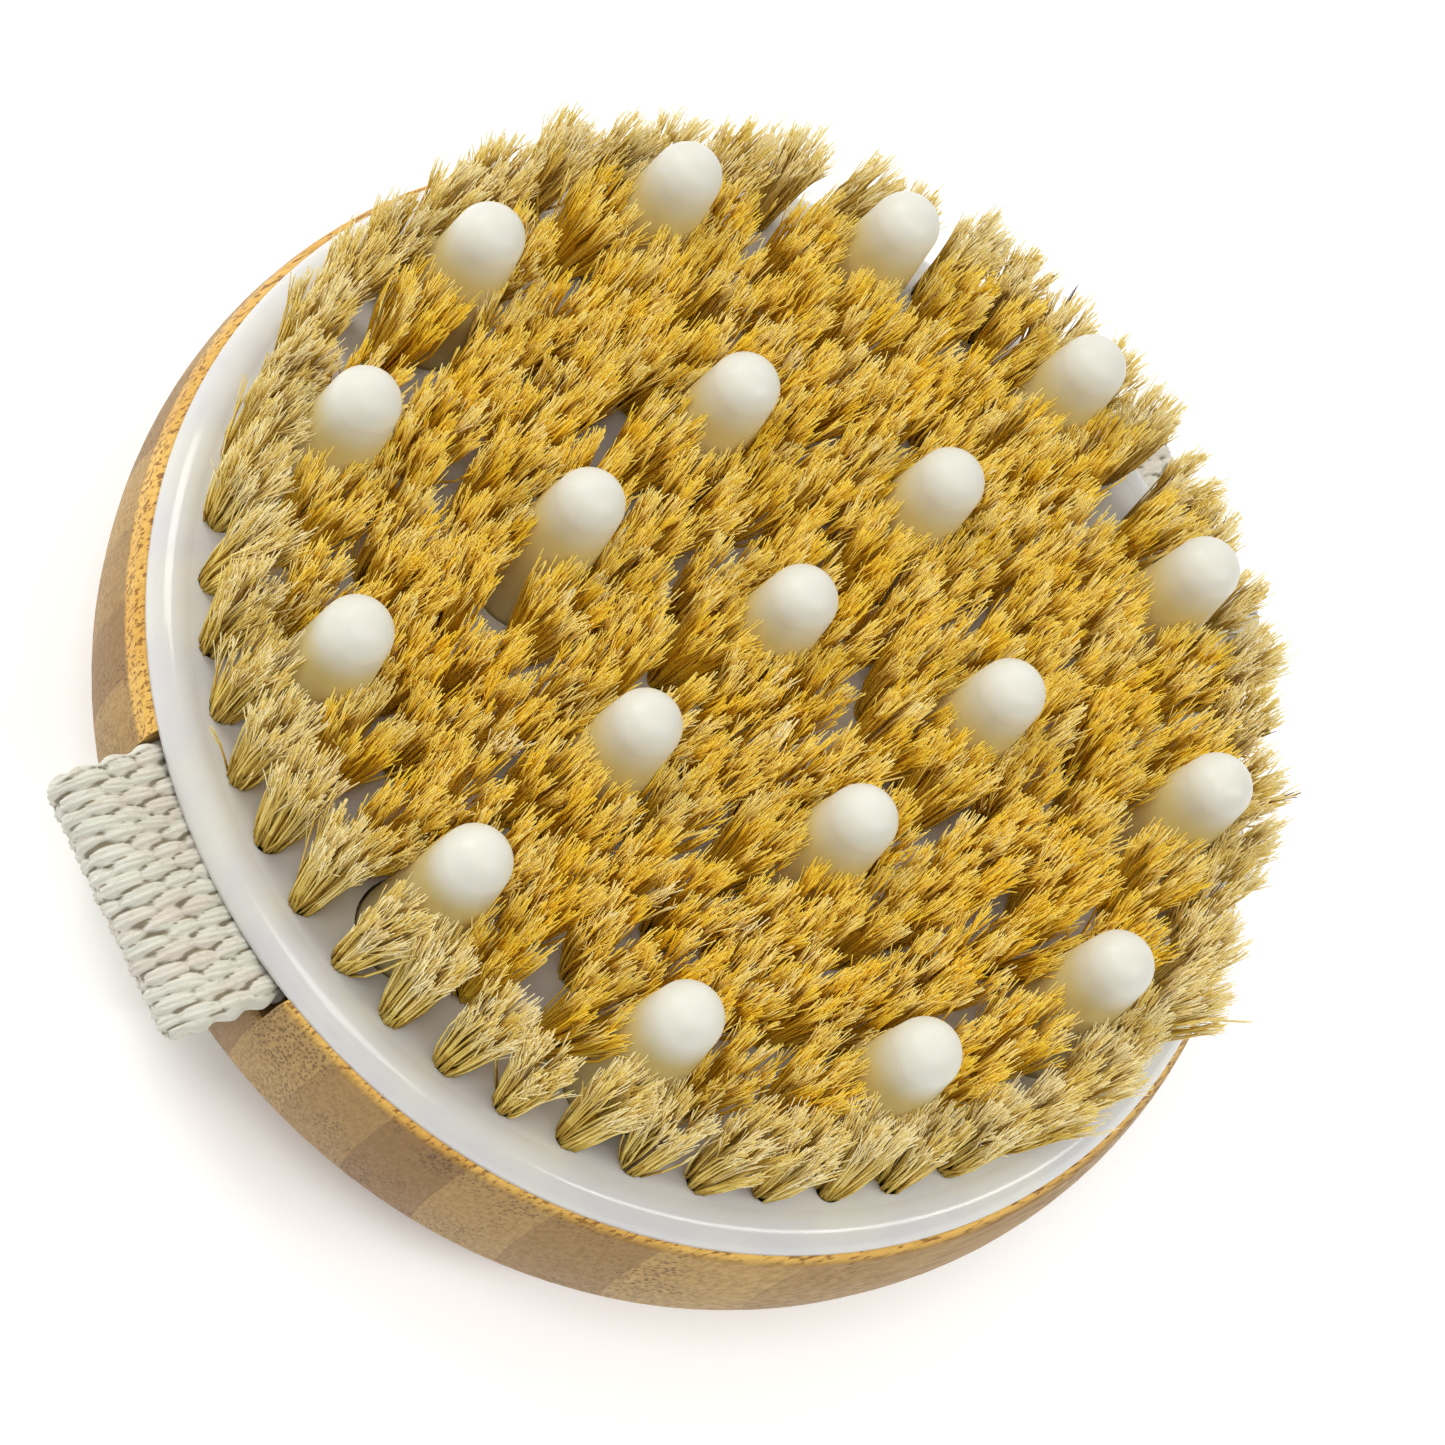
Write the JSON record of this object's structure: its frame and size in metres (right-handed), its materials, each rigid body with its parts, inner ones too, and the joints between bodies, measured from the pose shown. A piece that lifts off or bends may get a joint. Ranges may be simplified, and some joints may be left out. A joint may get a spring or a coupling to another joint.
{
  "type": "body dry brush",
  "caption": "Round palm brush for dry body brushing: bamboo disc, white plate with bristle tufts and soft massage nodules, cotton hand strap across the back.",
  "frame": {"origin": "middle of the strap's outer face, under the centre of the disc, where the brush rests on its back", "axes": "+Z out of the bristle side along the disc's axis, +X along the hand strap"},
  "size_m": [0.1456, 0.13, 0.057],
  "materials": {
    "bamboo": "sanded laminated bamboo, thin matt varnish",
    "plate_plastic": "glossy moulded polypropylene",
    "nodule_rubber": "satin translucent soft elastomer",
    "bristle": "natural hog bristle, cut tips",
    "cotton_webbing": "thick woven natural cotton",
    "steel_wire": "plain drawn wire",
    "glue": "cured wood glue"
  },
  "bodies": {
    "brush": {"bamboo_body": "bamboo", "bristle_plate": "plate_plastic", "glue_bead": "glue", "strap_staples_left": "steel_wire", "strap_staples_right": "steel_wire", "tuft_ring_1": "bristle", "tuft_ring_2": "bristle", "tuft_ring_3": "bristle", "tuft_ring_4": "bristle", "tuft_ring_5": "bristle", "tuft_ring_6": "bristle", "tuft_ring_7": "bristle", "anchor_ring_1": "steel_wire", "anchor_ring_2": "steel_wire", "anchor_ring_3": "steel_wire", "anchor_ring_4": "steel_wire", "anchor_ring_5": "steel_wire", "anchor_ring_6": "steel_wire", "anchor_ring_7": "steel_wire"},
    "strap": {"hand_strap": "cotton_webbing"},
    "nodule_01": {"nodule_01": "nodule_rubber"},
    "nodule_02": {"nodule_02": "nodule_rubber"},
    "nodule_03": {"nodule_03": "nodule_rubber"},
    "nodule_04": {"nodule_04": "nodule_rubber"},
    "nodule_05": {"nodule_05": "nodule_rubber"},
    "nodule_06": {"nodule_06": "nodule_rubber"},
    "nodule_07": {"nodule_07": "nodule_rubber"},
    "nodule_08": {"nodule_08": "nodule_rubber"},
    "nodule_09": {"nodule_09": "nodule_rubber"},
    "nodule_10": {"nodule_10": "nodule_rubber"},
    "nodule_11": {"nodule_11": "nodule_rubber"},
    "nodule_12": {"nodule_12": "nodule_rubber"},
    "nodule_13": {"nodule_13": "nodule_rubber"},
    "nodule_14": {"nodule_14": "nodule_rubber"},
    "nodule_15": {"nodule_15": "nodule_rubber"},
    "nodule_16": {"nodule_16": "nodule_rubber"},
    "nodule_17": {"nodule_17": "nodule_rubber"},
    "nodule_18": {"nodule_18": "nodule_rubber"},
    "nodule_19": {"nodule_19": "nodule_rubber"}
  },
  "joints": [
    {"name": "strap_pull", "type": "slide", "parent": "brush", "child": "strap", "axis": [0, 0, -1], "range_m": [0, 0.018], "deforming": ["hand_strap"]},
    {"name": "nodule_01_press", "type": "slide", "parent": "brush", "child": "nodule_01", "axis": [0, 0, -1], "range_m": [0, 0.003], "stiffness_N_per_m": 1200},
    {"name": "nodule_02_press", "type": "slide", "parent": "brush", "child": "nodule_02", "axis": [0, 0, -1], "range_m": [0, 0.003], "stiffness_N_per_m": 1200},
    {"name": "nodule_03_press", "type": "slide", "parent": "brush", "child": "nodule_03", "axis": [0, 0, -1], "range_m": [0, 0.003], "stiffness_N_per_m": 1200},
    {"name": "nodule_04_press", "type": "slide", "parent": "brush", "child": "nodule_04", "axis": [0, 0, -1], "range_m": [0, 0.003], "stiffness_N_per_m": 1200},
    {"name": "nodule_05_press", "type": "slide", "parent": "brush", "child": "nodule_05", "axis": [0, 0, -1], "range_m": [0, 0.003], "stiffness_N_per_m": 1200},
    {"name": "nodule_06_press", "type": "slide", "parent": "brush", "child": "nodule_06", "axis": [0, 0, -1], "range_m": [0, 0.003], "stiffness_N_per_m": 1200},
    {"name": "nodule_07_press", "type": "slide", "parent": "brush", "child": "nodule_07", "axis": [0, 0, -1], "range_m": [0, 0.003], "stiffness_N_per_m": 1200},
    {"name": "nodule_08_press", "type": "slide", "parent": "brush", "child": "nodule_08", "axis": [0, 0, -1], "range_m": [0, 0.003], "stiffness_N_per_m": 1200},
    {"name": "nodule_09_press", "type": "slide", "parent": "brush", "child": "nodule_09", "axis": [0, 0, -1], "range_m": [0, 0.003], "stiffness_N_per_m": 1200},
    {"name": "nodule_10_press", "type": "slide", "parent": "brush", "child": "nodule_10", "axis": [0, 0, -1], "range_m": [0, 0.003], "stiffness_N_per_m": 1200},
    {"name": "nodule_11_press", "type": "slide", "parent": "brush", "child": "nodule_11", "axis": [0, 0, -1], "range_m": [0, 0.003], "stiffness_N_per_m": 1200},
    {"name": "nodule_12_press", "type": "slide", "parent": "brush", "child": "nodule_12", "axis": [0, 0, -1], "range_m": [0, 0.003], "stiffness_N_per_m": 1200},
    {"name": "nodule_13_press", "type": "slide", "parent": "brush", "child": "nodule_13", "axis": [0, 0, -1], "range_m": [0, 0.003], "stiffness_N_per_m": 1200},
    {"name": "nodule_14_press", "type": "slide", "parent": "brush", "child": "nodule_14", "axis": [0, 0, -1], "range_m": [0, 0.003], "stiffness_N_per_m": 1200},
    {"name": "nodule_15_press", "type": "slide", "parent": "brush", "child": "nodule_15", "axis": [0, 0, -1], "range_m": [0, 0.003], "stiffness_N_per_m": 1200},
    {"name": "nodule_16_press", "type": "slide", "parent": "brush", "child": "nodule_16", "axis": [0, 0, -1], "range_m": [0, 0.003], "stiffness_N_per_m": 1200},
    {"name": "nodule_17_press", "type": "slide", "parent": "brush", "child": "nodule_17", "axis": [0, 0, -1], "range_m": [0, 0.003], "stiffness_N_per_m": 1200},
    {"name": "nodule_18_press", "type": "slide", "parent": "brush", "child": "nodule_18", "axis": [0, 0, -1], "range_m": [0, 0.003], "stiffness_N_per_m": 1200},
    {"name": "nodule_19_press", "type": "slide", "parent": "brush", "child": "nodule_19", "axis": [0, 0, -1], "range_m": [0, 0.003], "stiffness_N_per_m": 1200}
  ]
}
